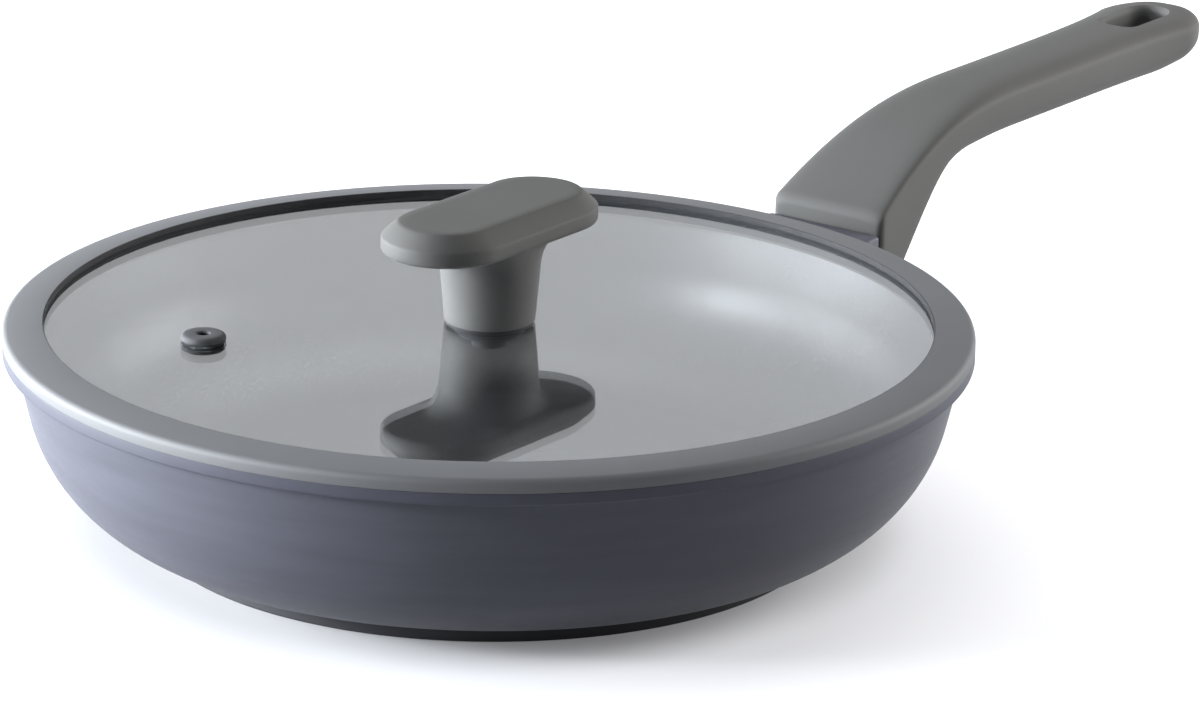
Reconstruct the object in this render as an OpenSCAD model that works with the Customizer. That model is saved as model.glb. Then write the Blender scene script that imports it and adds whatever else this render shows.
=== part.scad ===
// Frying pan with a flat glass lid: cast pan with a long handle, and a lid with
// a soft rim ring, a steam vent and a bar-shaped knob.
// Origin at the centre of the pan's underside, +Z up, handle along +X.

/* [Rim and wall] */
// Outer radius of the rim band
rim_r = 124; // [105:0.5:145]
// Height of the rim's top above the table
rim_z = 51.2; // [46:0.1:60]
// Height of the rim band
band_h = 3.1; // [2:0.1:5]
// How far the rim band stands out from the wall below it
band_out = 3; // [1:0.1:4]
// Thickness of the cast wall
wall_t = 2.6; // [2:0.1:4]
// Lean of the wall outwards from the vertical, in degrees
wall_lean = 13; // [8:0.5:18]
// Height of the wall's straight part, above the bend
straight_h = 6.1; // [3:0.1:10]
// Radius of the rim's rounded edges
rim_round = 0.8; // [0.3:0.1:1.2]

/* [Base] */
// How far the foot's side lies inside the rim
foot_in = 36.4; // [33:0.1:42]
// Height of the foot's side
foot_h = 3.4; // [2.6:0.1:4.2]
// Height of the bend's lowest point above the table
base_lift = 2; // [1.5:0.1:3]
// How far the edge above the foot lies inside the rim
ledge_in = 26.5; // [23:0.1:29]
// Chamfer at the foot's lower edge
foot_chamfer = 0.6; // [0.2:0.1:1]
// How far the steel plate's edge lies inside the foot's side
plate_in = 7.6; // [4:0.1:20]
// Thickness of the steel plate in the base
plate_t = 0.8; // [0.5:0.1:1.2]

/* [Handle bracket] */
// Distance from the rim to the handle's mouth
mouth_reach = 28; // [22:0.5:34]
// How far the bracket's top face lies below the rim's top
bracket_drop = 6.2; // [5:0.1:9]
// How far the bracket's underside lies above the handle's lowest point
bracket_step = 1.2; // [0.2:0.1:3]
// Half width of the bracket at the handle's mouth
bracket_half = 18.3; // [16:0.1:20]
// How much wider each side of the bracket is where it leaves the wall
bracket_flare = 15.5; // [6:0.5:17]
// Gap between the bracket's end face and the handle's mouth
mouth_gap = 0.6; // [0.2:0.1:1]
// Wall left round the pocket under the bracket
bracket_wall = 4; // [3:0.1:5]
// Reach of the boss into the handle
boss_reach = 18; // [15:0.5:19]
// Half width of the boss
boss_half = 12; // [9:0.1:13]
// Clearance round the boss in the handle's socket
boss_gap = 0.25; // [0.1:0.05:0.4]

/* [Handle] */
// Length from the mouth to the tip
handle_len = 182.6; // [165:0.1:205]
// Rise of the grip's top face above the mouth's upper edge
grip_rise = 21.9; // [18:0.1:26]
// Further rise of the top face from the waist to the tip
tip_rise = 0.8; // [0:0.1:1.5]
// Thickness of the grip
grip_t = 15.8; // [14.5:0.1:17]
// Half width at the mouth
mouth_half = 18.5; // [18:0.1:20]
// Half width at the waist
waist_half = 13.8; // [13:0.1:15]
// Half width of the rounded end
end_half = 16.4; // [15:0.1:17.5]
// Height of the mouth's upper lip above the bracket's top face
lip_h = 5; // [4.6:0.1:7]
// Depth of the mouth below the bracket's top face
mouth_depth = 29.4; // [27:0.1:31]
// Slope of the heel below the grip, in degrees
heel_slope = 46.5; // [42:0.5:50]
// Length over which the top face bends to the level
bend_len = 80; // [72:0.5:88]
// Distance from the mouth to the waist
waist_len = 80; // [70:0.5:90]
// Softness of the bend under the handle's heel
heel_blend = 5; // [3:0.1:7]
// Depth of the rounded shoulders of the top face
shoulder_h = 4.6; // [3.5:0.1:5.4]
// Depth of the rounded underside
belly_h = 9.2; // [6:0.1:9.5]
// Length over which the underside rises to the tip
nose_len = 28; // [18:0.5:32]
// Thickness of the plastic under the boss
heel_wall = 7.5; // [7:0.1:8]
// Length of the hanging hole
hang_len = 21.5; // [17:0.1:24]
// Width of the hanging hole
hang_w = 12; // [9:0.1:14]
// Plastic between the hanging hole and the tip
hang_end = 9.8; // [8:0.1:12]
// Corner radius of the hanging hole's inner end
hang_round = 3.5; // [2:0.1:4.4]
// Depth of the dish round the hanging hole
dish_h = 1.4; // [0.6:0.1:2]
// Width of the dish beside the hanging hole
dish_w = 0.8; // [0.6:0.1:1.8]
// Length of the dish on the side of the grip
dish_len = 5; // [2:0.1:7]

/* [Lid glass] */
// How far the glass's edge lies inside the rim's outer edge
glass_in = 7.6; // [7.2:0.1:8.4]
// Thickness of the glass
glass_t = 4; // [3:0.1:4.5]
// Height of the glass's upper face above the rim's top
glass_rise = 2.9; // [2.4:0.1:3.1]
// Chamfer round the glass's edge
glass_chamfer = 0.5; // [0.2:0.1:0.8]

/* [Lid ring] */
// Height of the ring's outer edge above the rim's top
ring_edge_h = 3.4; // [2.6:0.1:4]
// Height of the ring's inner edge above the rim's top
ring_top_h = 4.6; // [4.1:0.1:5.5]
// Width of the ring's top face from its outer side to its inner edge
ring_w = 9.8; // [9:0.1:10.4]
// Radial grip of the ring over the glass
ring_grip = 3; // [2:0.1:3.4]
// Depth of the skirt below the glass
skirt_h = 3.4; // [2.5:0.1:4.5]
// Clearance between the skirt and the pan's wall
skirt_gap = 0.5; // [0.3:0.05:0.8]
// Radius of the ring's rounded outer corner
ring_round = 1.6; // [0.8:0.1:2]

/* [Steam vent] */
// Distance from the rim's outer edge to the vent's axis
vent_in = 49.5; // [24:0.5:70]
// Angle of the vent from the handle, in degrees
vent_turn = 142.5; // [110:0.5:250]
// Radius of the vent's upper flange
vent_r = 5.8; // [5:0.1:7]
// Height of the vent's dome above the glass
vent_h = 2.2; // [1.8:0.1:4]
// Radius of the glass hole that holds the vent
vent_seat_r = 4; // [3.4:0.1:4.4]
// Radius of the steam hole
steam_r = 1.5; // [1:0.1:2]
// Thickness of the vent's lower flange
vent_low_h = 1.6; // [1.2:0.1:2.4]

/* [Knob] */
// Length of the knob's bar
bar_len = 69.2; // [60:0.1:78]
// Width of the knob's bar
bar_w = 33.2; // [32:0.1:38]
// Height of the knob's top face above the glass
knob_h = 31; // [29:0.1:36]
// Thickness of the bar at its edge and bevel together
bar_t = 8.1; // [7:0.1:9]
// Height of the bevel round the top face
bevel_h = 3.8; // [2.5:0.1:4.5]
// Width of the bevel round the top face
bevel_w = 4.2; // [2.5:0.1:5]
// Rounding of the bar's lower edge
bar_round = 1.4; // [0.8:0.1:1.8]
// Radius of the neck at the glass
neck_r = 11.7; // [10.5:0.1:12]
// Radius of the neck below the bar
neck_top_r = 12.9; // [12.2:0.1:13]
// Fillet between the neck and the bar
neck_fillet = 8; // [4:0.1:9]
// Spread of that fillet towards the bar's sides
fillet_side = 1.2; // [0.6:0.1:2]

/* [Fasteners] */
// Radius of the screws' threads
screw_r = 2.5; // [2:0.05:3]
// Radius of the screws' heads
head_r = 4.6; // [4:0.1:5]
// Height of the screws' heads
head_h = 2.8; // [2:0.1:3]
// Half width of the hexagon drive
drive_r = 1.7; // [1.2:0.1:2]
// Depth of the hexagon drive
drive_h = 1.6; // [1:0.1:1.8]
// Radial clearance round the screws
screw_gap = 0.05; // [0.02:0.01:0.1]
// Distance from the handle's mouth to its screw
screw_in = 13; // [12.4:0.1:14]
// Depth of the handle's screw head below the heel's surface
head_sink = 1; // [0.4:0.1:1.4]
// Thread length of the handle's screw in the boss
handle_grip = 7.5; // [6:0.1:8]
// Thread length of the knob's screw in its insert
knob_grip = 10; // [8:0.1:11]
// Radius of the brass insert
insert_r = 4.6; // [4:0.1:5.5]
// Length of the brass insert
insert_h = 12; // [11.5:0.1:14]
// Radius of the washer under the glass
washer_r = 8; // [7:0.1:9]
// Thickness of the washers
washer_t = 1; // [0.6:0.1:1.2]
// Radius of the gasket under the glass
gasket_r = 9; // [8:0.1:10]
// Thickness of the gasket under the glass
gasket_t = 1.2; // [0.8:0.1:1.6]
// Thickness of the pad between the knob and the glass
pad_t = 0.7; // [0.4:0.1:1]
// Radius of the glass hole for the knob's screw
glass_bore_r = 3.2; // [3.05:0.05:4]

/* [Hidden] */

// Overrun of a cut past the face that it opens
over = 1;
// Thickness of the sheets that a dish is stretched between
sheet = 0.02;
// Radial clearance of pieces that are pressed or moulded together
press_gap = 0.02;
round_fn = 96;
small_fn = 48;

// Colours
cast_colour = [0.20, 0.21, 0.26];
steel_colour = [0.72, 0.72, 0.72];
grip_colour = [0.38, 0.39, 0.38];
ring_colour = [0.42, 0.44, 0.47];
glass_colour = [0.75, 0.78, 0.80, 0.4];
vent_colour = [0.27, 0.29, 0.31];
brass_colour = [0.75, 0.60, 0.30];

// Radii that follow the rim
foot_r = rim_r - foot_in;
ledge_r = rim_r - ledge_in;
plate_r = foot_r - plate_in;
glass_r = rim_r - glass_in;
vent_x = rim_r - vent_in;
mouth_x = rim_r + mouth_reach;
tip_x = mouth_x + handle_len;

// Wall: a straight lean above a round bend
wall_z = rim_z - band_h;
wall_r = rim_r - band_out;
bowl_r = wall_z - straight_h - base_lift;
bend_z = base_lift + bowl_r;
bend_r = wall_r - (wall_z - bend_z) * tan(wall_lean) - bowl_r / cos(wall_lean);
bend_end = 90 - wall_lean;
ledge_turn = asin((ledge_r - bend_r) / bowl_r);
ledge_z = bend_z - bowl_r * cos(ledge_turn);
inner_bowl_r = bowl_r - wall_t;
floor_z = bend_z - inner_bowl_r;
bend_steps = 22;
round_steps = 5;

function arc(x, y, r, from, to, steps) =
    [for (i = [0:steps])
        let (a = from + (to - from) * i / steps)
        [x + r * cos(a), y + r * sin(a)]];

// Radius of the wall's outer and inner faces at a height on the straight lean
function outer_at(z) = wall_r - (wall_z - z) * tan(wall_lean);
function inner_at(z) = outer_at(z) - wall_t / cos(wall_lean);

// Heights that follow the rim
bracket_z = rim_z - bracket_drop;
mouth_top = bracket_z + lip_h;
mouth_low = bracket_z - mouth_depth;
grip_z = mouth_top + grip_rise;
bracket_low = mouth_low + bracket_step;

// Handle: height of the top face and of the underside, and half width, along its length
function bend_share(x) = max(0, 1 - (x - mouth_x) / bend_len);
top_power = 2.25;
function top_at(x) =
    grip_z - (grip_z - mouth_top) * pow(bend_share(x), top_power)
    + tip_rise * pow(max(0, (x - waist_x) / (tip_x - waist_x)), 2);
under_z = grip_z - grip_t;
heel_x = mouth_x + (under_z - mouth_low) / tan(heel_slope);
function under_at(x) =
    under_z - heel_blend * ln(1 + exp((heel_x - x) * tan(heel_slope) / heel_blend));
waist_x = mouth_x + waist_len;
cap_x = tip_x - end_half;
function ease(s) = let (t = min(1, max(0, s))) t * t * (3 - 2 * t);
end_power = 6;
function half_at(x) =
    x < waist_x
    ? waist_half + (mouth_half - waist_half) * pow(1 - (x - mouth_x) / waist_len, 2)
    : waist_half + (end_half - waist_half)
        * pow(min(1, (x - waist_x) / (cap_x - waist_x)), end_power);

// Share of the full section that is left in the rounded end
function cap_at(x) = max(0, (x - cap_x) / (tip_x - cap_x));
function cap_width(x) = sqrt(1 - pow(cap_at(x), 2));
function cap_rise(x) = pow(1 - pow(cap_at(x), 7), 1 / 3);
function nose_at(x) = max(0, 1 - (tip_x - x) / nose_len);
function nose_drop(x) = pow(1 - pow(nose_at(x), 1.7), 0.6);

// Roundness of the section's corners: square at the mouth, softer in the grip
top_power_mouth = 7;
top_power_grip = 3;
under_power_mouth = 5;
under_power_grip = 2.5;
function mix(a, b, s) = a + (b - a) * s;
function superpoint(w, h, n, a) =
    [w * sign(cos(a)) * pow(abs(cos(a)), 2 / n), h * pow(abs(sin(a)), 2 / n)];
side_points = 14;
function section(x) =
    let (s = ease((x - mouth_x) / bend_len),
         w = half_at(x) * cap_width(x),
         zt = top_at(x),
         zb = under_at(x),
         zm = zt - shoulder_h,
         zl = min(zm, mix(zb + belly_h, zm, nose_at(x))))
    concat(
        [for (i = [0:side_points])
            let (p = superpoint(w, shoulder_h * cap_rise(x),
                                mix(top_power_mouth, top_power_grip, s),
                                180 * i / side_points))
            [x, p[0], zm + p[1]]],
        [for (i = [0:side_points])
            let (p = superpoint(w, (zl - zb) * nose_drop(x),
                                mix(under_power_mouth, under_power_grip, s),
                                180 - 180 * i / side_points))
            [x, p[0], zl - p[1]]]);

// Stations along the handle: even steps, then closer ones in the rounded end
body_steps = 26;
cap_steps = 9;
cap_close_share = 0.9995;
stations = concat(
    [for (i = [0:body_steps]) mix(mouth_x, cap_x, i / body_steps)],
    [for (i = [1:cap_steps]) mix(cap_x, tip_x, cap_close_share * sin(90 * i / cap_steps))]);

// Boss and socket: floor parallel to the heel, roof below the handle's top face
bracket_end = mouth_x - mouth_gap;
boss_end = bracket_end + boss_reach;
function heel_at(x) = mouth_low + (x - mouth_x) * tan(heel_slope);
boss_lift = heel_wall / cos(heel_slope);
boss_roof = 3;
boss_end_z = top_at(boss_end) - shoulder_h;

// Screw of the handle: square to the heel, through its wall and into the boss
screw_x = mouth_x + screw_in;
handle_seat = head_sink + head_h + washer_t;

// Lid heights
glass_top = rim_z + glass_rise;
glass_low = glass_top - glass_t;
skirt_low = glass_low - skirt_h;
knob_low = glass_top + pad_t;
knob_top = glass_top + knob_h;
bar_low = knob_top - bar_t;
gasket_low = glass_low - gasket_t;
washer_low = gasket_low - washer_t;
knob_screw_low = washer_low - head_h;

module revolve(points) {
    rotate_extrude($fn = round_fn)
        polygon(points);
}

module pan_outside() {
    revolve(concat(
        [[0, 0], [foot_r - foot_chamfer, 0], [foot_r, foot_chamfer], [foot_r, foot_h]],
        arc(bend_r, bend_z, bowl_r, ledge_turn - 90, bend_end - 90, bend_steps),
        [[wall_r, wall_z]],
        arc(rim_r - rim_round, wall_z + rim_round, rim_round, -90, 0, round_steps),
        arc(rim_r - rim_round, rim_z - rim_round, rim_round, 0, 90, round_steps),
        [[0, rim_z]]));
}

module pan_inside() {
    lip_r = inner_at(rim_z);
    revolve(concat(
        [[0, floor_z]],
        arc(bend_r, bend_z, inner_bowl_r, -90, bend_end - 90, bend_steps),
        [[inner_at(rim_z - rim_round), rim_z - rim_round]],
        arc(lip_r + rim_round, rim_z - rim_round, rim_round, 180, 90, round_steps),
        [[lip_r + rim_round, rim_z + over], [0, rim_z + over]]));
}

// Bracket in plan: wide at the wall, as wide as the handle at its mouth
flare_x = wall_r - band_out;
flare_steps = 8;
flare_power = 1.8;
function flare_at(s) = bracket_half + bracket_flare * pow(s, flare_power);
module bracket_plan() {
    near = [for (i = [0:flare_steps])
        let (s = i / flare_steps)
        [mix(bracket_end, flare_x, s), flare_at(s)]];
    far = [for (i = [flare_steps:-1:0]) [near[i][0], -near[i][1]]];
    polygon(concat(near, [[ledge_r, flare_at(1)], [ledge_r, -flare_at(1)]], far));
}

module bracket_side() {
    polygon([
        [ledge_r, bracket_low], [bracket_end, bracket_low],
        [bracket_end, bracket_z], [ledge_r, bracket_z]]);
}

// Boss in side view, grown by a clearance for the socket
module boss_side(grow) {
    polygon([
        [bracket_end - over, heel_at(bracket_end - over) + boss_lift - grow],
        [boss_end + grow, heel_at(boss_end + grow) + boss_lift - grow],
        [boss_end + grow, boss_end_z + grow],
        [bracket_end - over, bracket_z - boss_roof + grow]]);
}

module upright(half) {
    rotate([90, 0, 0])
        linear_extrude(2 * half, center = true)
            children();
}

module at_handle_screw() {
    translate([screw_x, 0, heel_at(screw_x)])
        rotate([0, -heel_slope, 0])
            children();
}

module pan_body() {
    color(cast_colour)
    difference() {
        union() {
            pan_outside();
            intersection() {
                linear_extrude(rim_z)
                    bracket_plan();
                upright(bracket_half + bracket_flare)
                    bracket_side();
            }
            upright(boss_half)
                boss_side(0);
        }
        pan_inside();
        translate([0, 0, -over])
            cylinder(r = plate_r + press_gap, h = plate_t + over, $fn = round_fn);
        bracket_pocket();
        at_handle_screw()
            cylinder(r = screw_r + screw_gap, h = heel_wall + handle_grip + over, $fn = small_fn);
    }
}

// Pocket that lightens the bracket from below
module bracket_pocket() {
    from_x = wall_r + bracket_wall;
    to_x = bracket_end - bracket_wall;
    half = bracket_half - bracket_wall;
    translate([from_x, -half, bracket_low - over])
        cube([to_x - from_x, 2 * half, bracket_z - bracket_wall - bracket_low + over]);
}

module base_plate() {
    color(steel_colour)
    cylinder(r = plate_r, h = plate_t, $fn = round_fn);
}

module handle_solid() {
    n = 2 * (side_points + 1);
    m = len(stations);
    points = [for (x = stations) each section(x)];
    polyhedron(
        points = points,
        faces = concat(
            [[for (j = [0:n - 1]) j]],
            [for (i = [0:m - 2], j = [0:n - 1])
                [i * n + j, (i + 1) * n + j, i * n + (j + 1) % n]],
            [for (i = [0:m - 2], j = [0:n - 1])
                [(i + 1) * n + j, (i + 1) * n + (j + 1) % n, i * n + (j + 1) % n]],
            [[for (j = [n - 1:-1:0]) (m - 1) * n + j]]));
}

// Hanging hole in plan: small corners towards the pan, round towards the tip
module hang_plan(side, near) {
    r = hang_round + side;
    half = hang_w / 2 + side;
    corner_x = tip_x - hang_end - hang_len - near + r;
    far_x = tip_x - hang_end - hang_w / 2;
    polygon(concat(
        arc(far_x, 0, half, -90, 90, 4 * round_steps),
        arc(corner_x, half - r, r, 90, 180, round_steps),
        arc(corner_x, r - half, r, 180, 270, round_steps)));
}

// Dish round the hanging hole's upper end, widened on at the same rate above the top face
module hang_dish() {
    low_z = top_at(tip_x - hang_end - hang_len / 2) - dish_h;
    grown = (dish_h + over) / dish_h;
    hull() {
        translate([0, 0, low_z])
            linear_extrude(sheet)
                hang_plan(0, 0);
        translate([0, 0, low_z + dish_h + over])
            linear_extrude(sheet)
                hang_plan(grown * dish_w, grown * dish_len);
    }
}

module handle() {
    color(grip_colour)
    difference() {
        handle_solid();
        translate([0, 0, under_z - over])
            linear_extrude(grip_t + tip_rise + 2 * over)
                hang_plan(0, 0);
        hang_dish();
        upright(boss_half + boss_gap)
            boss_side(boss_gap);
        at_handle_screw() {
            cylinder(r = screw_r + boss_gap, h = heel_wall + over, $fn = small_fn);
            translate([0, 0, -over - head_r])
                cylinder(r = head_r + boss_gap, h = handle_seat + over + head_r, $fn = small_fn);
        }
    }
}

// Screw with its head down: the head's top face and the thread's start are at z = 0
module screw(length) {
    translate([0, 0, -head_h])
        difference() {
            cylinder(r = head_r, h = head_h, $fn = small_fn);
            translate([0, 0, -over])
                cylinder(r = drive_r, h = drive_h + over, $fn = 6);
        }
    cylinder(r = screw_r, h = length, $fn = small_fn);
}

module ring_washer(outer, inner, thick) {
    difference() {
        cylinder(r = outer, h = thick, $fn = small_fn);
        translate([0, 0, -over])
            cylinder(r = inner, h = thick + 2 * over, $fn = small_fn);
    }
}

module handle_screw() {
    color(steel_colour)
    at_handle_screw()
        translate([0, 0, head_sink + head_h])
            screw(heel_wall - head_sink - head_h + handle_grip);
}

module handle_washer() {
    color(steel_colour)
    at_handle_screw()
        translate([0, 0, head_sink + head_h])
            ring_washer(head_r, screw_r + screw_gap, washer_t);
}

module at_vent() {
    rotate([0, 0, vent_turn])
        translate([vent_x, 0, 0])
            children();
}

module lid_glass() {
    c = glass_chamfer;
    color(glass_colour)
    difference() {
        revolve([
            [0, glass_low], [glass_r - c, glass_low], [glass_r, glass_low + c],
            [glass_r, glass_top - c], [glass_r - c, glass_top], [0, glass_top]]);
        translate([0, 0, glass_low - over])
            cylinder(r = glass_bore_r, h = glass_t + 2 * over, $fn = small_fn);
        at_vent()
            translate([0, 0, glass_low - over])
                cylinder(r = vent_seat_r, h = glass_t + 2 * over, $fn = small_fn);
    }
}

module lid_ring() {
    inner_r = glass_r - ring_grip;
    edge_r = rim_r - ring_w;
    edge_z = rim_z + ring_top_h;
    side_z = rim_z + ring_edge_h;
    seat_r = glass_r + press_gap;
    color(ring_colour)
    revolve(concat(
        [[inner_r, glass_top], [edge_r, edge_z - rim_round]],
        arc(edge_r + rim_round, edge_z - rim_round, rim_round, 180, 95, round_steps),
        arc(rim_r - ring_round, side_z - ring_round, ring_round, 80, 0, round_steps),
        arc(rim_r - rim_round, rim_z + rim_round, rim_round, 0, -90, round_steps),
        [[inner_at(rim_z) - skirt_gap, rim_z],
         [inner_at(skirt_low + rim_round) - skirt_gap, skirt_low + rim_round],
         [inner_at(skirt_low) - skirt_gap - rim_round, skirt_low],
         [inner_r + rim_round, skirt_low], [inner_r, skirt_low + rim_round],
         [inner_r, glass_low], [seat_r, glass_low], [seat_r, glass_top]]));
}

module steam_vent() {
    low_z = glass_low - vent_low_h;
    dome_share = 0.45;
    bend = vent_h * dome_share;
    neck = vent_seat_r - press_gap;
    color(vent_colour)
    at_vent()
        rotate_extrude($fn = small_fn)
            polygon(concat(
                [[steam_r, low_z], [vent_r - bend, low_z], [vent_r - bend / 2, glass_low],
                 [neck, glass_low], [neck, glass_top], [vent_r - bend / 3, glass_top],
                 [vent_r, glass_top + bend / 2]],
                arc(vent_r - bend, glass_top + vent_h - bend, bend, 0, 80, round_steps),
                [[steam_r + bend / 2, glass_top + vent_h],
                 [steam_r, glass_top + vent_h - bend / 2]]));
}

// Bar with round ends: one profile, turned at both ends and drawn between them
module bar(profile, length) {
    half = length / 2;
    for (side = [0, 180])
        rotate([0, 0, side])
            translate([half, 0, 0])
                rotate([0, 0, -90])
                    rotate_extrude(angle = 180, $fn = round_fn)
                        polygon(profile);
    rotate([90, 0, 90])
        linear_extrude(length, center = true)
            union() {
                polygon(profile);
                mirror([1, 0])
                    polygon(profile);
            }
}

module knob() {
    half_w = bar_w / 2;
    flare_r = neck_top_r + neck_fillet;
    flare_half = neck_top_r + fillet_side;
    bar_profile = concat(
        [[0, bar_low]],
        arc(half_w - bar_round, bar_low + bar_round, bar_round, -90, 0, round_steps),
        [[half_w, knob_top - bevel_h], [half_w - bevel_w, knob_top], [0, knob_top]]);
    color(grip_colour)
    difference() {
        union() {
            bar(bar_profile, bar_len - bar_w);
            intersection() {
                revolve(concat(
                    [[0, knob_low], [neck_r, knob_low]],
                    arc(flare_r, bar_low - neck_fillet, neck_fillet,
                        180, 90, 2 * round_steps),
                    [[flare_r, bar_low + bar_round], [0, bar_low + bar_round]]));
                translate([-flare_r - over, -flare_half, knob_low - over])
                    cube([2 * (flare_r + over), 2 * flare_half, bar_t + knob_h]);
            }
        }
        translate([0, 0, knob_low - over])
            cylinder(r = insert_r + press_gap, h = insert_h + over, $fn = small_fn);
    }
}

module knob_insert() {
    color(brass_colour)
    translate([0, 0, knob_low])
        difference() {
            cylinder(r = insert_r, h = insert_h, $fn = small_fn);
            translate([0, 0, -over])
                cylinder(r = screw_r + screw_gap, h = knob_grip + 2 * over, $fn = small_fn);
        }
}

module knob_pad() {
    color(vent_colour)
    translate([0, 0, glass_top])
        ring_washer(neck_r - pad_t / 2, glass_bore_r, pad_t);
}

module knob_gasket() {
    color(vent_colour)
    translate([0, 0, gasket_low])
        ring_washer(gasket_r, glass_bore_r, gasket_t);
}

module knob_washer() {
    color(steel_colour)
    translate([0, 0, washer_low])
        ring_washer(washer_r, screw_r + screw_gap, washer_t);
}

module knob_screw() {
    color(steel_colour)
    translate([0, 0, washer_low])
        screw(knob_low - washer_low + knob_grip);
}

pan_body();
base_plate();
handle();
handle_screw();
handle_washer();
lid_glass();
lid_ring();
steam_vent();
knob();
knob_insert();
knob_pad();
knob_gasket();
knob_washer();
knob_screw();
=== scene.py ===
import math
import bmesh
import bpy
from mathutils import Matrix, Vector


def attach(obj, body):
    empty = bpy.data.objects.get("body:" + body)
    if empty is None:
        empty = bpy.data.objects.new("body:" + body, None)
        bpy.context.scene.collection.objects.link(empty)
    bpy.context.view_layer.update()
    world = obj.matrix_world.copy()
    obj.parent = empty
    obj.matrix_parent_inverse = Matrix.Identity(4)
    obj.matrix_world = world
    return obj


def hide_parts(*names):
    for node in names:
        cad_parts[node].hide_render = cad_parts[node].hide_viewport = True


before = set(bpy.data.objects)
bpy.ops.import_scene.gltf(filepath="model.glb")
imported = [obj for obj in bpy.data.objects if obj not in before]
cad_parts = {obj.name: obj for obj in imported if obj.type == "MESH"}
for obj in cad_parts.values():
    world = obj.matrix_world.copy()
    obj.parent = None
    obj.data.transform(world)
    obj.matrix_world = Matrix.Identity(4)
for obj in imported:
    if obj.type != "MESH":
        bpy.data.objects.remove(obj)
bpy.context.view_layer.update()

mm = 0.001

# Camera: it stands to the left of the handle, a little above the lid, with a long lens that
# holds the whole pan, and leans by one degree.
camera_turn = math.radians(-53.5)
camera_rise = math.radians(18.107)
camera_lean = math.radians(0.94)
camera_reach = 1408 * mm
camera_aim = Vector((16.84, -22.76, 45.45)) * mm
camera_lens, film_width, sight_end = 165.1, 36, 50
back = Vector((math.sin(camera_turn) * math.cos(camera_rise),
               -math.cos(camera_turn) * math.cos(camera_rise), math.sin(camera_rise)))
upright = Vector((math.cos(camera_turn), math.sin(camera_turn), 0))
rightward = math.cos(camera_lean) * upright + math.sin(camera_lean) * back.cross(upright)
view_axes = Matrix((rightward, back.cross(rightward), back)).transposed()
camera = bpy.data.objects.new("camera", bpy.data.cameras.new("camera"))
camera.matrix_world = Matrix.Translation(camera_aim + back * camera_reach) @ view_axes.to_4x4()
camera.data.lens = camera_lens
camera.data.sensor_width = film_width
camera.data.clip_end = sight_end
bpy.context.scene.collection.objects.link(camera)
bpy.context.scene.camera = camera
bpy.context.scene.view_settings.view_transform = "Standard"

# Bowl: the pan is cast in aluminium in one piece and turned true: a foot, an undercut, a round
# bend, a straight leaning wall and a thicker rim band. Outside it is sprayed a satin dark
# blue-grey, finer on the band, inside it has a speckled non-stick coat, and below a darker one.
rim_r, rim_z = 123.98, 51.2
band_r, band_z = 121.0, 48.1
bend_r, bend_z, bowl_r, wall_t = 78.54, 42.0, 40.0, 2.6
wall_lean = 13.0
foot_r, foot_z, plate_r, plate_t = 87.6, 3.4, 80.02, 0.8
ledge_turn, coat_low, under_high = -61.7, 4.0, 6.6
foot_round, step_round, band_round, seam_round, lip_round = 0.6, 0.8, 0.6, 0.15, 0.8
weld = 0.001 * mm


def wall_at(z, inside=False):
    r = band_r - (band_z - z) * math.tan(math.radians(wall_lean))
    return r - wall_t / math.cos(math.radians(wall_lean)) if inside else r


def bend(radius, start, end, parts):
    """Points along the round bend, by angle from the level, as corners with no fillet."""
    turns = [math.radians(start + (end - start) * k / parts) for k in range(parts + 1)]
    return [(bend_r + radius * math.cos(t), bend_z + radius * math.sin(t), 0) for t in turns]


def rounded(corners, parts=6):
    """A closed profile of (radius, height, fillet) with its corners rounded."""
    points = []
    for i, (r, z, fillet) in enumerate(corners):
        here = Vector((r, z))
        if not fillet:
            points.append(here)
            continue
        before = (Vector(corners[i - 1][:2]) - here).normalized()
        after = (Vector(corners[(i + 1) % len(corners)][:2]) - here).normalized()
        half = before.angle(after) / 2
        centre = here + (before + after).normalized() * fillet / math.sin(half)
        start = (here + before * fillet / math.tan(half) - centre).normalized()
        end = (here + after * fillet / math.tan(half) - centre).normalized()
        points += [centre + fillet * start.slerp(end, k / parts) for k in range(parts + 1)]
    return points


def turned(profile, steps=192):
    """A solid of revolution about the pan's axis, from a closed profile in mm."""
    bm = bmesh.new()
    verts = [bm.verts.new((p[0] * mm, 0, p[1] * mm)) for p in profile]
    edges = [bm.edges.new(pair) for pair in zip(verts, verts[1:])]
    if profile[0][0] > 0 or profile[-1][0] > 0:
        edges.append(bm.edges.new((verts[-1], verts[0])))
    bmesh.ops.spin(bm, geom=verts + edges, cent=(0, 0, 0), axis=(0, 0, 1), dvec=(0, 0, 0),
                   angle=2 * math.pi, steps=steps, use_merge=True)
    bmesh.ops.remove_doubles(bm, verts=bm.verts, dist=weld)
    bmesh.ops.recalc_face_normals(bm, faces=bm.faces)
    return bm


def piece(name, bm, body, nodes, materials, crease=35):
    """Makes the mesh an object of that name that rides on a body in place of its CAD nodes."""
    mesh = bpy.data.meshes.new(name)
    bm.to_mesh(mesh)
    bm.free()
    mesh.shade_smooth()
    mesh.set_sharp_from_angle(angle=math.radians(crease))
    for material in materials:
        mesh.materials.append(material)
    thing = bpy.data.objects.new(name, mesh)
    bpy.context.scene.collection.objects.link(thing)
    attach(thing, body)
    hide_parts(*nodes)
    return thing


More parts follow.
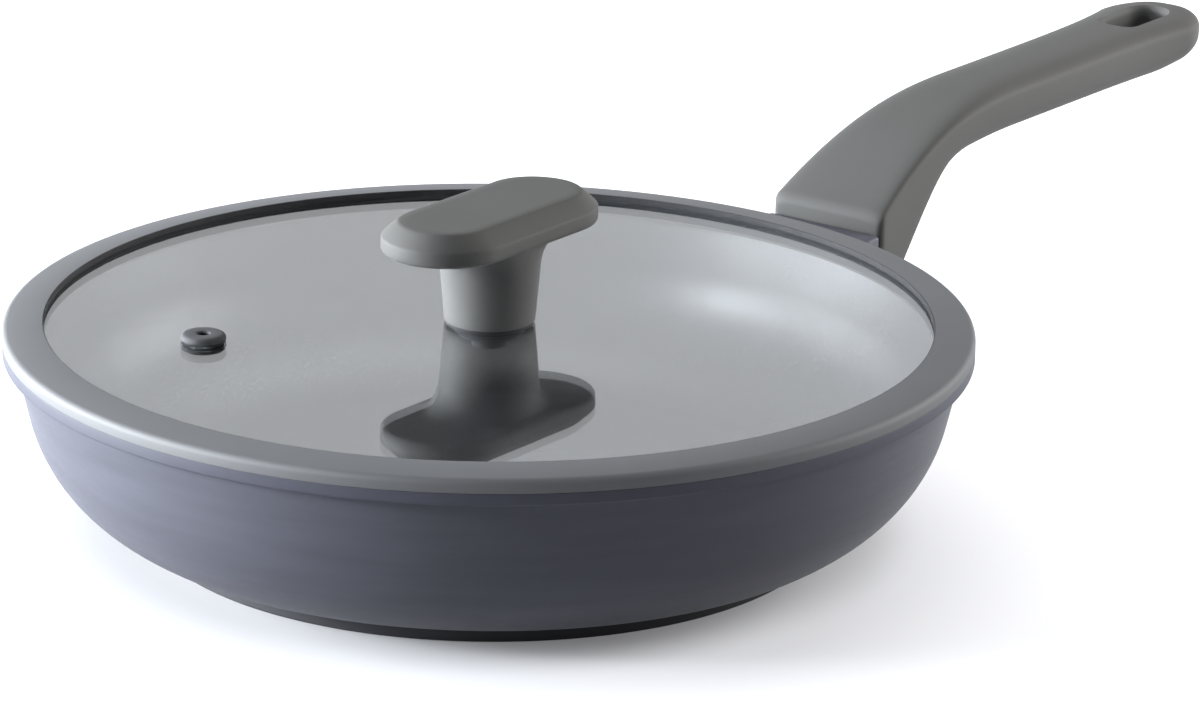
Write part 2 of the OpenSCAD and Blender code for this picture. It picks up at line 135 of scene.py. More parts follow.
def finish(name, dark, light, patch, shine, grain, depth, metal=0.0, level=0.5, stretch=(1, 1, 1)):
    """A surface whose colour drifts between two tones over patches of one size, with a fine
    grain of another size that roughens it. Sizes and the grain's depth are in mm."""
    material = bpy.data.materials.new(name)
    material.use_nodes = True
    tree = material.node_tree
    shader = tree.nodes["Principled BSDF"]
    shader.inputs["Metallic"].default_value = metal
    shader.inputs["Specular IOR Level"].default_value = level
    place = tree.nodes.new("ShaderNodeTexCoord")
    squeeze = tree.nodes.new("ShaderNodeMapping")
    squeeze.inputs["Scale"].default_value = stretch
    tree.links.new(place.outputs["Object"], squeeze.inputs["Vector"])
    drift = tree.nodes.new("ShaderNodeTexNoise")
    drift.inputs["Scale"].default_value = 1 / (patch * mm)
    drift.inputs["Detail"].default_value = 4
    tree.links.new(squeeze.outputs["Vector"], drift.inputs["Vector"])
    tones = tree.nodes.new("ShaderNodeMix")
    tones.name = "tones"
    tones.data_type = "RGBA"
    tones.inputs["A"].default_value = (*dark, 1)
    tones.inputs["B"].default_value = (*light, 1)
    tree.links.new(drift.outputs["Fac"], tones.inputs["Factor"])
    tree.links.new(tones.outputs["Result"], shader.inputs["Base Color"])
    fine = tree.nodes.new("ShaderNodeTexNoise")
    fine.name = "fine"
    fine.inputs["Scale"].default_value = 1 / (grain * mm)
    fine.inputs["Detail"].default_value = 3
    tree.links.new(squeeze.outputs["Vector"], fine.inputs["Vector"])
    sheen = tree.nodes.new("ShaderNodeMapRange")
    sheen.name = "sheen"
    sheen.inputs["To Min"].default_value = shine[0]
    sheen.inputs["To Max"].default_value = shine[1]
    tree.links.new(fine.outputs["Fac"], sheen.inputs["Value"])
    tree.links.new(sheen.outputs["Result"], shader.inputs["Roughness"])
    relief = tree.nodes.new("ShaderNodeBump")
    relief.name = "relief"
    relief.inputs["Strength"].default_value = 1
    relief.inputs["Distance"].default_value = depth * mm
    tree.links.new(fine.outputs["Fac"], relief.inputs["Height"])
    tree.links.new(relief.outputs["Normal"], shader.inputs["Normal"])
    return material


def speckled(material, light, dot, spread, gap, shine):
    """Adds small flecks of one size, paler and smoother than the coat, to a finish. Gap is the
    share of the places where a fleck is left out."""
    tree = material.node_tree
    place = next(n for n in tree.nodes if n.type == "TEX_COORD")
    cells = tree.nodes.new("ShaderNodeTexVoronoi")
    cells.inputs["Scale"].default_value = 1 / (dot * mm)
    tree.links.new(place.outputs["Object"], cells.inputs["Vector"])
    fleck = tree.nodes.new("ShaderNodeMapRange")
    fleck.inputs["From Min"].default_value = spread
    fleck.inputs["From Max"].default_value = spread * 0.5
    tree.links.new(cells.outputs["Distance"], fleck.inputs["Value"])
    choice = tree.nodes.new("ShaderNodeMath")
    choice.operation = "GREATER_THAN"
    choice.inputs[1].default_value = gap
    tree.links.new(cells.outputs["Color"], choice.inputs[0])
    both = tree.nodes.new("ShaderNodeMath")
    both.operation = "MULTIPLY"
    tree.links.new(fleck.outputs["Result"], both.inputs[0])
    tree.links.new(choice.outputs["Value"], both.inputs[1])
    flecked = tree.nodes.new("ShaderNodeMix")
    flecked.data_type = "RGBA"
    flecked.inputs["B"].default_value = (*light, 1)
    tree.links.new(both.outputs["Value"], flecked.inputs["Factor"])
    tree.links.new(tree.nodes["tones"].outputs["Result"], flecked.inputs["A"])
    tree.links.new(flecked.outputs["Result"], tree.nodes["Principled BSDF"].inputs["Base Color"])
    glint = tree.nodes.new("ShaderNodeMix")
    glint.inputs["B"].default_value = shine
    tree.links.new(both.outputs["Value"], glint.inputs["Factor"])
    tree.links.new(tree.nodes["sheen"].outputs["Result"], glint.inputs["A"])
    tree.links.new(glint.outputs["Result"], tree.nodes["Principled BSDF"].inputs["Roughness"])


outer_coat = finish("outer_coat", (0.050, 0.051, 0.063), (0.071, 0.072, 0.089), 5, (0.38, 0.50),
                    0.5, 0.014, level=0.12, stretch=(0.12, 0.12, 1.2))
band_coat = finish("band_coat", (0.045, 0.046, 0.060), (0.056, 0.057, 0.074), 9, (0.50, 0.56),
                   0.35, 0.004, level=0.15)
inner_coat = finish("inner_coat", (0.004, 0.004, 0.005), (0.007, 0.007, 0.009), 12, (0.33, 0.38),
                    0.45, 0.003, level=0.33)
speckled(inner_coat, (0.010, 0.010, 0.012), 0.7, 0.40, gap=0.55, shine=0.27)
under_coat = finish("under_coat", (0.010, 0.010, 0.013), (0.016, 0.016, 0.020), 9, (0.50, 0.62),
                    0.35, 0.008, level=0.3)

inner_edge = wall_at(rim_z, inside=True)
band_from, lip_from = band_z - 0.2, inner_edge + 0.5
bowl = turned(rounded(
    [(0, plate_t, 0), (plate_r, plate_t, 0), (plate_r, 0, 0), (foot_r, 0, foot_round),
     (foot_r, foot_z, step_round)]
    + bend(bowl_r, ledge_turn, -wall_lean, 24)
    + [(band_r, band_z, 0), (rim_r, band_z, band_round), (rim_r, rim_z, seam_round),
       (inner_edge, rim_z, lip_round)]
    + bend(bowl_r - wall_t, -wall_lean, -90, 32)
    + [(0, bend_z - bowl_r + wall_t, 0)]), 240)
for face in bowl.faces:
    spot = face.calc_center_median()
    across, height = spot.xy.length / mm, spot.z / mm
    facing_in = face.normal.z > 0.05 or face.normal.xy.dot(spot.xy) < 0
    if height > band_from and across > lip_from:
        face.material_index = 1
    elif facing_in and height > coat_low and across < wall_at(height) - wall_t / 2:
        face.material_index = 2
    elif height < under_high:
        face.material_index = 3
piece("pan_bowl", bowl, "pan", ["pan_body"],
      [outer_coat, band_coat, inner_coat, under_coat])

# Bracket: cast with the wall behind the rim, as wide as the handle's cheeks where they meet
# and flared into the wall, with a boss that enters the handle. The pocket that lightens it
# from below and the boss's screw hole aren't drawn.
bracket_end, bracket_low, bracket_top = 151.4, 16.8, 45.0
bracket_half, bracket_flare, flare_x, flare_power = 18.3, 15.5, 118, 1.8
cheek_x, root_x, free_from, bracket_round = 116, 114, 122, 1.0
straight_low, edge_turn = bend_z - 9.0, 0.7


def bracket_width(x):
    s = (bracket_end - x) / (bracket_end - flare_x)
    return bracket_half + bracket_flare * max(0, s) ** flare_power


bracket = bmesh.new()
near = [bracket_end - (bracket_end - cheek_x) * k / 14 for k in range(15)]
rim = ([(x, bracket_width(x)) for x in near]
       + [(root_x, bracket_width(cheek_x) * (1 - k / 8)) for k in range(17)]
       + [(x, -bracket_width(x)) for x in reversed(near)]
       + [(bracket_end, -bracket_half * k / 4) for k in (3, 2, 1, 0, -1, -2, -3)])
outline = [bracket.verts.new((x * mm, y * mm, bracket_low * mm)) for x, y in rim]
lifted = [bracket.edges.new((outline[i - 1], outline[i])) for i in range(len(outline))]
bracket.faces.new(outline)
levels = 12
for k in range(levels):
    grown = bmesh.ops.extrude_edge_only(bracket, edges=lifted)["geom"]
    fresh = {g for g in grown if isinstance(g, bmesh.types.BMVert)}
    lifted = [g for g in grown if isinstance(g, bmesh.types.BMEdge)
              and g.verts[0] in fresh and g.verts[1] in fresh]
    bmesh.ops.translate(bracket, verts=list(fresh),
                        vec=(0, 0, (bracket_top - bracket_low) / levels * mm))
bmesh.ops.contextual_create(bracket, geom=lifted)
for v in bracket.verts:
    if v.co.x < (root_x + cheek_x) / 2 * mm:
        y, z = v.co.y / mm, v.co.z / mm
        on_bend = z <= straight_low
        r = bend_r + math.sqrt(bowl_r ** 2 - (bend_z - z) ** 2) if on_bend else wall_at(z)
        v.co.x = math.sqrt((r - wall_t / 2) ** 2 - y ** 2) * mm
bmesh.ops.recalc_face_normals(bracket, faces=bracket.faces)
round_edges = [e for e in bracket.edges if e.is_manifold and e.calc_face_angle(0) > edge_turn
               and min(v.co.x for v in e.verts) > free_from * mm]
bmesh.ops.bevel(bracket, geom=round_edges, offset=bracket_round * mm, offset_type="OFFSET", segments=3,
                profile=0.5, affect="EDGES", material=-1)
piece("pan_bracket", bracket, "pan", ["pan_body"], [outer_coat])

# Base plate: a steel disc pressed into the underside so that the pan heats on an
# induction hob, faced on a lathe, which leaves fine rings.
plate_steel = finish("plate_steel", (0.50, 0.50, 0.51), (0.60, 0.60, 0.61), 30, (0.25, 0.40),
                     0.5, 0.004, metal=1.0)
ring_pitch, ring_waver = 1.7756, 0.4
tree = plate_steel.node_tree
rings = tree.nodes.new("ShaderNodeTexWave")
rings.wave_type = "RINGS"
rings.rings_direction = "Z"
# At a scale of 1 the wave runs through 20 radians in each metre.
rings.inputs["Scale"].default_value = math.pi / 10 / (ring_pitch * mm)
rings.inputs["Distortion"].default_value = ring_waver
tree.links.new(next(n for n in tree.nodes if n.type == "TEX_COORD").outputs["Object"],
               rings.inputs["Vector"])
tree.links.new(rings.outputs["Fac"], tree.nodes["relief"].inputs["Height"])


def dress(node, material):
    """Gives a CAD node that is shown as it is its finish."""
    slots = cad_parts[node].data.materials
    for i in range(len(slots)):
        slots[i] = material


dress("base_plate", plate_steel)

# Handle: moulded in a tough plastic with a matt soft-touch skin. It slides over the boss,
# rises from its mouth to a level grip, and ends round a hanging hole with a dished edge.
mouth_x, tip_x = 152.0, 334.6
grip_z, grip_t, mouth_top, mouth_low = 71.9, 15.8, 50.0, 15.6
waist_x, cap_x, end_half, waist_half, mouth_half = 232.0, 318.2, 16.4, 13.8, 18.5
shoulder, belly, tip_rise, nose_len, mouth_round = 4.6, 9.2, 0.8, 28.0, 2.2
rise_power, end_power, heel_blend = 2.25, 6, 5
heel_slope = math.radians(46.5)
heel_rise = math.tan(heel_slope)
rise_len = waist_x - mouth_x
under_z = grip_z - grip_t
heel_x = mouth_x + (under_z - mouth_low) / heel_rise


def ease(s):
    s = min(1, max(0, s))
    return s * s * (3 - 2 * s)


def handle_top(x):
    return (grip_z - (grip_z - mouth_top) * max(0, 1 - (x - mouth_x) / rise_len) ** rise_power
            + tip_rise * max(0, (x - waist_x) / (tip_x - waist_x)) ** 2)


def handle_under(x):
    return under_z - heel_blend * math.log(1 + math.exp((heel_x - x) * heel_rise / heel_blend))


def handle_half(x):
    if x < waist_x:
        return waist_half + (mouth_half - waist_half) * (1 - (x - mouth_x) / rise_len) ** 2
    s = min(1, (x - waist_x) / (cap_x - waist_x))
    return waist_half + (end_half - waist_half) * s ** end_power


def handle_ring(x, parts=28):
    """The handle's section at x: rounded shoulders above, softer cheeks below."""
    cap = max(0, (x - cap_x) / (tip_x - cap_x))
    s = ease((x - mouth_x) / rise_len)
    turned_in = mouth_round * (1 - math.sqrt(1 - max(0, 1 - (x - mouth_x) / mouth_round) ** 2))
    half = handle_half(x) * math.sqrt(1 - cap ** 2) - turned_in
    top, low = handle_top(x) - shoulder - turned_in, handle_under(x) + turned_in
    nose = max(0, 1 - (tip_x - x) / nose_len)
    side_z = min(top, (low + belly) * (1 - nose) + top * nose)
    # Each half of the section has the power of its curve, which is squarer at the mouth, the
    # height that it starts from and its reach above or below that.
    above = (7 - 4 * s, top, shoulder * (1 - cap ** 7) ** (1 / 3))
    below = (5 - 2.5 * s, side_z, (low - side_z) * (1 - nose ** 1.7) ** 0.6)
    ring = []
    for (power, z, reach), order in ((above, range(parts + 1)), (below, range(parts, -1, -1))):
        for k in order:
            a = math.pi * k / parts
            c, d = math.cos(a), math.sin(a)
            ring.append(Vector((x, math.copysign(abs(c) ** (2 / power), c) * half,
                                z + reach * abs(d) ** (2 / power))) * mm)
    return ring


def stacked(rings):
    """A closed solid from rings of points with the same count, each extruded from the last."""
    bm = bmesh.new()
    ring = [bm.verts.new(p) for p in rings[0]]
    edges = [bm.edges.new((ring[i - 1], ring[i])) for i in range(len(ring))]
    first = ring
    for points in rings[1:]:
        grown = bmesh.ops.extrude_edge_only(bm, edges=edges)["geom"]
        fresh = {g for g in grown if isinstance(g, bmesh.types.BMVert)}
        ring = [next(e.other_vert(v) for e in v.link_edges if e.other_vert(v) in fresh)
                for v in ring]
        edges = [g for g in grown if isinstance(g, bmesh.types.BMEdge)
                 and g.verts[0] in fresh and g.verts[1] in fresh]
        for v, point in zip(ring, points):
            v.co = point
    bm.faces.new(first)
    bm.faces.new(ring)
    bmesh.ops.recalc_face_normals(bm, faces=bm.faces)
    return bm


grip_steps, end_steps, lip_steps, last_share = 90, 14, 8, 0.9995
lip_end = mouth_x + mouth_round
stations = ([mouth_x + mouth_round * (1 - math.cos(math.pi / 2 * k / lip_steps))
             for k in range(lip_steps)]
            + [lip_end + (cap_x - lip_end) * k / grip_steps for k in range(grip_steps + 1)]
            + [cap_x + (tip_x - cap_x) * last_share * math.sin(math.pi / 2 * k / end_steps)
               for k in range(1, end_steps + 1)])
handle = stacked([handle_ring(x) for x in stations])


def cutter(name, bm):
    """Makes the mesh an object that is cut from the handle and then removed."""
    mesh = bpy.data.meshes.new(name)
    bmesh.ops.recalc_face_normals(bm, faces=bm.faces)
    bm.to_mesh(mesh)
    bm.free()
    thing = bpy.data.objects.new(name, mesh)
    bpy.context.scene.collection.objects.link(thing)
    return thing


hole_half, hole_corner, hole_len, tip_wall = 6, 3.5, 21.5, 9.8
hole_end = tip_x - tip_wall


def hole_ring(z, side, near):
    """The hanging hole's outline at a height, wider by side and longer by near towards the pan."""
    half, r = hole_half + side, hole_corner + side
    far_x, corner_x = hole_end - hole_half, hole_end - hole_len - near + r
    points = [(far_x + half * math.cos(a), half * math.sin(a))
              for a in (math.radians(-90 + 180 * k / 24) for k in range(25))]
    for cy, start in ((half - r, 90), (r - half, 180)):
        points += [(corner_x + r * math.cos(a), cy + r * math.sin(a))
                   for a in (math.radians(start + 90 * k / 8) for k in range(9))]
    return [Vector((x, y, z)) * mm for x, y in points]


brim_z = handle_top(hole_end - hole_len / 2)
# Rows of the rise from each face of the grip, and how much wider and longer the hole is there.
hole_edges = ((under_z, ((-2, 3.0, 3.0), (0, 1.0, 1.0), (0.35, 0.5, 0.5), (1.2, 0, 0))),
              (brim_z, ((-2.2, 0, 0), (-1.5, 0.10, 0.5), (-0.9, 0.3, 1.7), (-0.4, 0.6, 3.4),
                        (0, 1.0, 5.4), (1.0, 2.0, 9.5))))
hole = cutter("hole_cutter", stacked([hole_ring(z + rise, side, near) for z, rows in hole_edges
                                      for rise, side, near in rows]))
boss_half, boss_gap, boss_reach, boss_roof, heel_wall = 12.0, 0.25, 18, 3, 7.5
boss_end, boss_lift = bracket_end + boss_reach, heel_wall / math.cos(heel_slope)
boss_root, socket_open = bracket_end - 3, bracket_end - 1
screw_in, recess_r, recess_len, recess_deep = 13, 4.85, 12, 4.8


def heel_at(x):
    return mouth_low + (x - mouth_x) * heel_rise


def boss_ring(y, grow, mouth_end):
    """The boss's outline from the side, at y, grown by grow for the socket round it."""
    return [Vector((x, y, z)) * mm for x, z in (
        (mouth_end, heel_at(mouth_end) + boss_lift - grow),
        (boss_end + grow, heel_at(boss_end + grow) + boss_lift - grow),
        (boss_end + grow, handle_top(boss_end) - shoulder + grow),
        (mouth_end, bracket_top - boss_roof + grow))]


socket = cutter("socket_cutter", stacked(
    [boss_ring(s * (boss_half + boss_gap), boss_gap, socket_open) for s in (-1, 1)]))
screw_x = mouth_x + screw_in
screw_frame = (Matrix.Translation(Vector((screw_x, 0, heel_at(screw_x))) * mm)
               @ Matrix.Rotation(-heel_slope, 4, "Y"))
recess_shift = Matrix.Translation((0, 0, (recess_deep - recess_len / 2) * mm))
recess_bm = bmesh.new()
bmesh.ops.create_cone(recess_bm, cap_ends=True, segments=48, radius1=recess_r * mm,
                      radius2=recess_r * mm, depth=recess_len * mm, matrix=screw_frame @ recess_shift)
recess = cutter("recess_cutter", recess_bm)
soft_touch = finish("soft_touch", (0.055, 0.054, 0.052), (0.066, 0.065, 0.063), 25, (0.62, 0.72),
                    0.30, 0.006, level=0.15)
grip = piece("pan_handle", handle, "pan", ["handle"], [soft_touch])
for tool in (hole, socket, recess):
    cut = grip.modifiers.new("cut", "BOOLEAN")
    cut.operation = "DIFFERENCE"
    cut.solver = "EXACT"
    cut.object = tool
shaped = bpy.data.meshes.new_from_object(grip.evaluated_get(bpy.context.evaluated_depsgraph_get()))
grip.modifiers.clear()
grip.data = shaped
merged = bmesh.new()
merged.from_mesh(shaped)
bmesh.ops.remove_doubles(merged, verts=merged.verts, dist=2 * weld)
bmesh.ops.dissolve_degenerate(merged, edges=merged.edges, dist=weld)
merged.to_mesh(shaped)
merged.free()
shaped.shade_smooth()
shaped.set_sharp_from_angle(angle=math.radians(30))
for tool in (hole, socket, recess):
    bpy.data.objects.remove(tool)
piece("pan_boss", stacked([boss_ring(s * boss_half, 0, boss_root) for s in (-1, 1)]),
      "pan", ["pan_body"], [outer_coat])

# Handle screw and its washer: plain zinc-plated steel, turned and rolled. The screw goes in
# from the heel and clamps the handle to the boss.
screw_steel = finish("screw_steel", (0.42, 0.42, 0.43), (0.52, 0.52, 0.53), 2, (0.25, 0.38),
                     0.15, 0.003, metal=1.0)
for node in ("handle_screw", "handle_washer"):
    dress(node, screw_steel)

# Lid glass: a flat tempered disc, 4 mm thick, with a ground edge inside the ring and two
# drilled holes. The lamps shine through it, so that the pan's inside is lit.
smear_patch, smear_rough = 35, 0.02
clear_glass = bpy.data.materials.new("clear_glass")
clear_glass.use_nodes = True
tree = clear_glass.node_tree
shader = tree.nodes["Principled BSDF"]
shader.inputs["Transmission Weight"].default_value = 1
shader.inputs["IOR"].default_value = 1.52
shader.inputs["Coat Weight"].default_value = 0.3
shader.inputs["Base Color"].default_value = (0.93, 0.95, 0.96, 1)
haze = tree.nodes.new("ShaderNodeTexNoise")
haze.inputs["Scale"].default_value = 1 / (smear_patch * mm)
place = tree.nodes.new("ShaderNodeTexCoord")
tree.links.new(place.outputs["Object"], haze.inputs["Vector"])
wipe = tree.nodes.new("ShaderNodeMapRange")
wipe.inputs["To Min"].default_value = 0.0
wipe.inputs["To Max"].default_value = smear_rough
tree.links.new(haze.outputs["Fac"], wipe.inputs["Value"])
tree.links.new(wipe.outputs["Result"], shader.inputs["Roughness"])
through = tree.nodes.new("ShaderNodeBsdfTransparent")
through.inputs["Color"].default_value = (0.88, 0.90, 0.91, 1)
rays = tree.nodes.new("ShaderNodeLightPath")
shade = tree.nodes.new("ShaderNodeMixShader")
tree.links.new(rays.outputs["Is Shadow Ray"], shade.inputs[0])
tree.links.new(shader.outputs["BSDF"], shade.inputs[1])
tree.links.new(through.outputs["BSDF"], shade.inputs[2])
tree.links.new(shade.outputs["Shader"], tree.nodes["Material Output"].inputs["Surface"])
dress("lid_glass", clear_glass)

# Lid ring: silicone moulded round the glass, with a wide top face, a soft outer edge that
# lies on the rim, and a skirt below that keeps the lid from sliding off. The wall that meets
# the glass carries painted shade, darker than the rest, for the shadow between ring and glass.
glass_top, glass_low, glass_r, grip_r, groove_gap = 54.1, 50.1, 116.4, 113.4, 0.02
crown_r, crown_z, edge_z, edge_round = 113.46, 55.75, 54.6, 1.7
skirt_low, skirt_gap, skirt_round, painted_shade_r = 46.7, 0.5, 0.7, grip_r + 0.3
ring_silicone = finish("ring_silicone", (0.022, 0.023, 0.026), (0.030, 0.031, 0.035), 14,
                       (0.72, 0.80), 0.25, 0.004, level=0.95)
groove_r, skirt_r = glass_r + groove_gap, wall_at(skirt_low, inside=True) - skirt_gap
ring = turned(rounded([
    (grip_r, glass_top, 0.1), (crown_r, crown_z, 0.2), (rim_r, edge_z, edge_round),
    (rim_r, rim_z, seam_round), (inner_edge - skirt_gap, rim_z, 0.2),
    (skirt_r, skirt_low, skirt_round), (grip_r, skirt_low, skirt_round), (grip_r, glass_low, 0),
    (groove_r, glass_low, 0), (groove_r, glass_top, 0)]), 240)
# Dark silicone for the knob's pad and gasket, also used as painted shade on the ring's inner wall and
# the vent's foot.
dark_silicone = finish("dark_silicone", (0.016, 0.016, 0.017), (0.022, 0.022, 0.023), 6,
                       (0.60, 0.70), 0.25, 0.004, level=0.1)
# Painted shade: faces of the ring's inner wall, by the glass, take the dark silicone as a shadow.
for face in ring.faces:
    if face.calc_center_median().xy.length < painted_shade_r * mm:
        face.material_index = 1
piece("lid_rim_ring", ring, "lid", ["lid_ring"], [ring_silicone, dark_silicone])

# Steam vent: a silicone grommet pulled through its hole in the glass, with a low rounded head
# above, a waist in the glass, a flange below and a steam hole through the middle. Its foot
# carries painted shade, darker than its head, for the shadow gap at its base.
vent_silicone = finish("vent_silicone", (0.052, 0.052, 0.055), (0.064, 0.064, 0.068), 5,
                       (0.70, 0.80), 0.25, 0.004, level=0.15)
vent_turn, vent_reach = math.radians(142.5), 74.5
vent_low, vent_top, vent_foot = 48.5, 56.3, glass_top + 0.7
steam_r, waist_r, head_r, head_round = 1.5, 3.98, 5.8, 1.2
vent = turned(rounded([
    (steam_r, vent_low, 0.3), (head_r - 1.0, vent_low, 0.8), (head_r - 0.5, glass_low, 0.05),
    (waist_r, glass_low, 0), (waist_r, glass_top, 0), (head_r - 0.2, glass_top, 0.1),
    (head_r, vent_foot, 0.3), (head_r, vent_top, head_round), (steam_r, vent_top, 0.6)]), 64)
vent_spot = Vector((math.cos(vent_turn), math.sin(vent_turn), 0)) * vent_reach * mm
# Painted shade: faces below the head's foot take the dark silicone as a shadow gap.
for face in vent.faces:
    if face.calc_center_median().z < vent_foot * mm:
        face.material_index = 1
bmesh.ops.translate(vent, verts=vent.verts, vec=vent_spot)
piece("lid_vent", vent, "lid", ["steam_vent"], [vent_silicone, dark_silicone])

# Knob: one soft-touch moulding, a round neck that swells into a bar with full-round ends
# and a wide bevel round its flat top. A screw from below holds it to the glass.
knob_low, knob_top, bar_low = 54.8, 85.1, 77.0
bar_half, bar_core, bevel_w, bevel_h, bar_round = 16.6, 18.0, 4.2, 3.8, 1.4
neck_r, neck_grow, neck_len, neck_foot = 11.7, 1.1, 13, 0.3
throat_r, fillet, flare, bare_share = 12.9, 8.0, 1.2, 0.378
round_share = 0.7


def bar_ring(z, half, share, parts=24):
    """A ring that turns from the neck's circle, at share 0, into the bar's outline, at 1."""
    ring = []
    for quarter in range(4):
        for k in range(parts):
            t = k / parts if quarter % 2 == 0 else 1 - k / parts
            on = min(1, t / round_share)
            a = math.pi / 2 * (t * (1 - share) + on * share)
            x = (half * math.cos(a)
                 + bar_core * share * (1 - max(0, t - round_share) / (1 - round_share)))
            y = half * math.sin(a)
            sx = -1 if quarter in (1, 2) else 1
            sy = -1 if quarter in (2, 3) else 1
            ring.append(Vector((sx * x, sy * y, z)) * mm)
    return ring


neck = [(knob_low, neck_r - neck_foot, 0)]
neck += [(knob_low + neck_foot + neck_len * k / 8, neck_r + neck_grow * k / 8, 0) for k in range(9)]
for k in range(13):
    a = math.pi / 2 * k / 12
    neck.append((bar_low - fillet * (1 - math.sin(a)), throat_r + flare * (1 - math.cos(a)),
                 (fillet - flare) / bar_core * (1 - math.cos(a))))
bare_r, flat_r = throat_r + flare, bar_half - bar_round
under = [(bar_low, bare_r + (flat_r - bare_r) * s, bare_share + (1 - bare_share) * s)
         for s in (0.35, 0.7, 0.93)]
edge = []
for k in range(7):
    a = math.pi / 2 * k / 6
    edge.append((bar_low + bar_round * (1 - math.cos(a)), flat_r + bar_round * math.sin(a), 1))
# Rows of the rise from each edge of the bevel, and how far inside it they lie, to round it.
bevel_edges = ((knob_top - bevel_h, bar_half, ((-0.45, 0), (-0.12, 0.1), (0.25, 0.38))),
               (knob_top, bar_half - bevel_w, ((-0.5, -0.45), (-0.14, 0.05), (0, 0.7), (0, 3))))
upper = [(z + rise, half - inset, 1) for z, half, rows in bevel_edges for rise, inset in rows]
knob = stacked([bar_ring(z, half, share) for z, half, share in neck + under + edge + upper])
piece("lid_knob", knob, "lid", ["knob"], [soft_touch])

# Under the knob: a brass insert moulded into the neck, a thin pad above the glass, a gasket
# below it, and the washer and screw that clamp them and have a black finish.
insert_brass = finish("insert_brass", (0.52, 0.36, 0.14), (0.62, 0.44, 0.18), 2, (0.25, 0.38),
                      0.15, 0.003, metal=1.0)
dress("knob_insert", insert_brass)
dress("knob_pad", dark_silicone)
dress("knob_gasket", dark_silicone)
black_screw = finish("black_screw", (0.014, 0.014, 0.016), (0.020, 0.020, 0.022), 2, (0.50, 0.60),
                     0.15, 0.003, level=0.3)
for node in ("knob_screw", "knob_washer"):
    dress(node, black_screw)

# Studio: a white paper floor, seen from above only, with a painted shadow round the pan that
# fades to white away from it, a broad low lamp on the left, a small one left of the camera, a
# glint in the same place that is only mirrored, a near one on the right, and a soft one
# overhead that is never mirrored.
def white_where_seen(tree, lit):
    """A strength of lit for the light that falls on things, and 1 for rays that see it."""
    rays = tree.nodes.new("ShaderNodeLightPath")
    mirrored = tree.nodes.new("ShaderNodeMath")
    mirrored.operation = "MAXIMUM"
    tree.links.new(rays.outputs["Is Camera Ray"], mirrored.inputs[0])
    tree.links.new(rays.outputs["Is Glossy Ray"], mirrored.inputs[1])
    seen = tree.nodes.new("ShaderNodeMath")
    seen.operation = "MAXIMUM"
    tree.links.new(mirrored.outputs["Value"], seen.inputs[0])
    tree.links.new(rays.outputs["Is Transmission Ray"], seen.inputs[1])
    direct = tree.nodes.new("ShaderNodeMath")
    direct.operation = "LESS_THAN"
    direct.inputs[1].default_value = 0.5
    tree.links.new(rays.outputs["Diffuse Depth"], direct.inputs[0])
    white = tree.nodes.new("ShaderNodeMath")
    white.operation = "MULTIPLY"
    tree.links.new(seen.outputs["Value"], white.inputs[0])
    tree.links.new(direct.outputs["Value"], white.inputs[1])
    strength = tree.nodes.new("ShaderNodeMapRange")
    strength.inputs["To Min"].default_value = lit
    strength.inputs["To Max"].default_value = 1
    tree.links.new(white.outputs["Value"], strength.inputs["Value"])
    return strength.outputs["Result"]


world = bpy.data.worlds.new("studio")
bpy.context.scene.world = world
world.use_nodes = True
sky = world.node_tree.nodes["Background"]
sky.inputs["Color"].default_value = (0.95, 0.97, 1, 1)
world.node_tree.links.new(white_where_seen(world.node_tree, lit=0.06), sky.inputs["Strength"])

# In metres: the painted shadow's tones are rows of the distance from its centre and the floor's glow
# there, dark near the pan.
floor_r, floor_drop, painted_shadow_centre = 9, 0.2 * mm, (0.001, 0.005, 0)
painted_shadow_tones = ((0.094, 0.15), (0.117, 0.42), (0.19, 0.46), (0.35, 0.64), (0.98, 1.0))
floor_bm = bmesh.new()
bmesh.ops.create_circle(floor_bm, cap_ends=True, segments=96, radius=floor_r,
                        matrix=Matrix.Translation((0, 0, -floor_drop)))
floor = bpy.data.objects.new("floor", bpy.data.meshes.new("floor"))
floor_bm.to_mesh(floor.data)
floor_bm.free()
bpy.context.scene.collection.objects.link(floor)
paper = bpy.data.materials.new("paper")
paper.use_nodes = True
tree = paper.node_tree
shader = tree.nodes["Principled BSDF"]
shader.inputs["Base Color"].default_value = (0.46, 0.46, 0.47, 1)
shader.inputs["Roughness"].default_value = 0.9
shader.inputs["Specular IOR Level"].default_value = 0.1
place = tree.nodes.new("ShaderNodeTexCoord")
far_off = tree.nodes.new("ShaderNodeVectorMath")
far_off.operation = "DISTANCE"
far_off.inputs[1].default_value = painted_shadow_centre
tree.links.new(place.outputs["Object"], far_off.inputs[0])
# Painted shadow: the floor's seen glow is low near the pan and rises to white away from it.
painted_shadow_glow = tree.nodes.new("ShaderNodeValToRGB")
painted_shadow_glow.color_ramp.interpolation = "EASE"
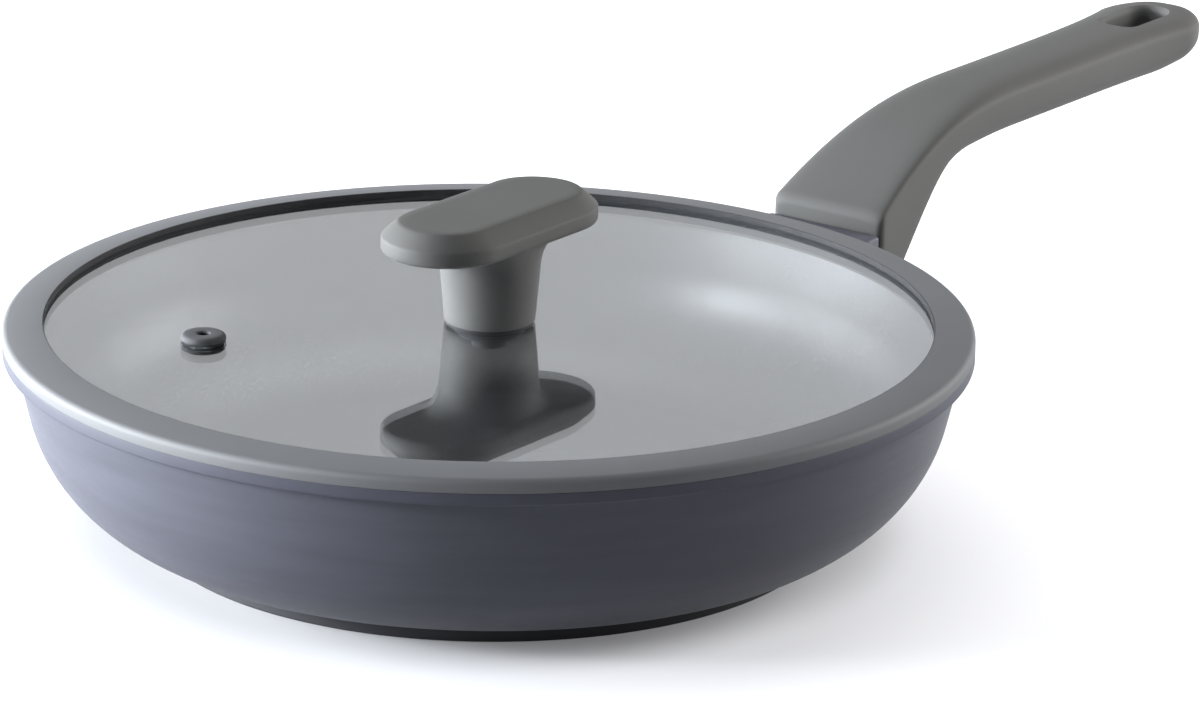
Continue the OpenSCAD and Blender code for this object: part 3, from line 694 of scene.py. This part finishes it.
for stop, (spot, tone) in enumerate(painted_shadow_tones):
    if stop > 1:
        painted_shadow_glow.color_ramp.elements.new(spot)
    painted_shadow_glow.color_ramp.elements[stop].position = spot
    painted_shadow_glow.color_ramp.elements[stop].color = (tone, tone, tone * 1.04, 1)
tree.links.new(far_off.outputs["Value"], painted_shadow_glow.inputs["Fac"])
tree.links.new(painted_shadow_glow.outputs["Color"], shader.inputs["Emission Color"])
tree.links.new(white_where_seen(tree, lit=0), shader.inputs["Emission Strength"])
facing = tree.nodes.new("ShaderNodeNewGeometry")
nothing = tree.nodes.new("ShaderNodeBsdfTransparent")
one_way = tree.nodes.new("ShaderNodeMixShader")
tree.links.new(facing.outputs["Backfacing"], one_way.inputs["Fac"])
tree.links.new(shader.outputs["BSDF"], one_way.inputs[1])
tree.links.new(nothing.outputs["BSDF"], one_way.inputs[2])
tree.links.new(one_way.outputs["Shader"], tree.nodes["Material Output"].inputs["Surface"])
floor.data.materials.append(paper)

cool, plain, lamp_aim = (0.90, 0.95, 1.0), (1, 1, 1), Vector((0.03, 0, 0.04))
for name, turn, rise, reach, wide, tall, power, colour in (
        ("lamp_left", -97, 8, 1.7, 1.2, 0.5, 203, cool),
        ("lamp_key", -69, 21, 1.6, 0.26, 0.26, 14, cool),
        ("lamp_glint", -69, 21, 1.6, 0.26, 0.26, 34, cool),
        ("lamp_right", 104, 17, 0.9, 0.6, 0.4, 12, plain),
        ("lamp_top", 160, 68, 1.8, 1.5, 1.5, 25, plain)):
    lamp = bpy.data.lights.new(name, "AREA")
    lamp.shape = "RECTANGLE"
    lamp.size = wide
    lamp.size_y = tall
    lamp.energy = power
    lamp.color = colour
    a, e = camera_turn + math.radians(turn), math.radians(rise)
    away = Vector((math.sin(a) * math.cos(e), -math.cos(a) * math.cos(e), math.sin(e)))
    holder = bpy.data.objects.new(name, lamp)
    spin = away.to_track_quat("Z", "Y").to_matrix().to_4x4()
    holder.matrix_world = Matrix.Translation(away * reach + lamp_aim) @ spin
    bpy.context.scene.collection.objects.link(holder)
    holder.visible_diffuse = name != "lamp_glint"
    holder.visible_glossy = name != "lamp_top"
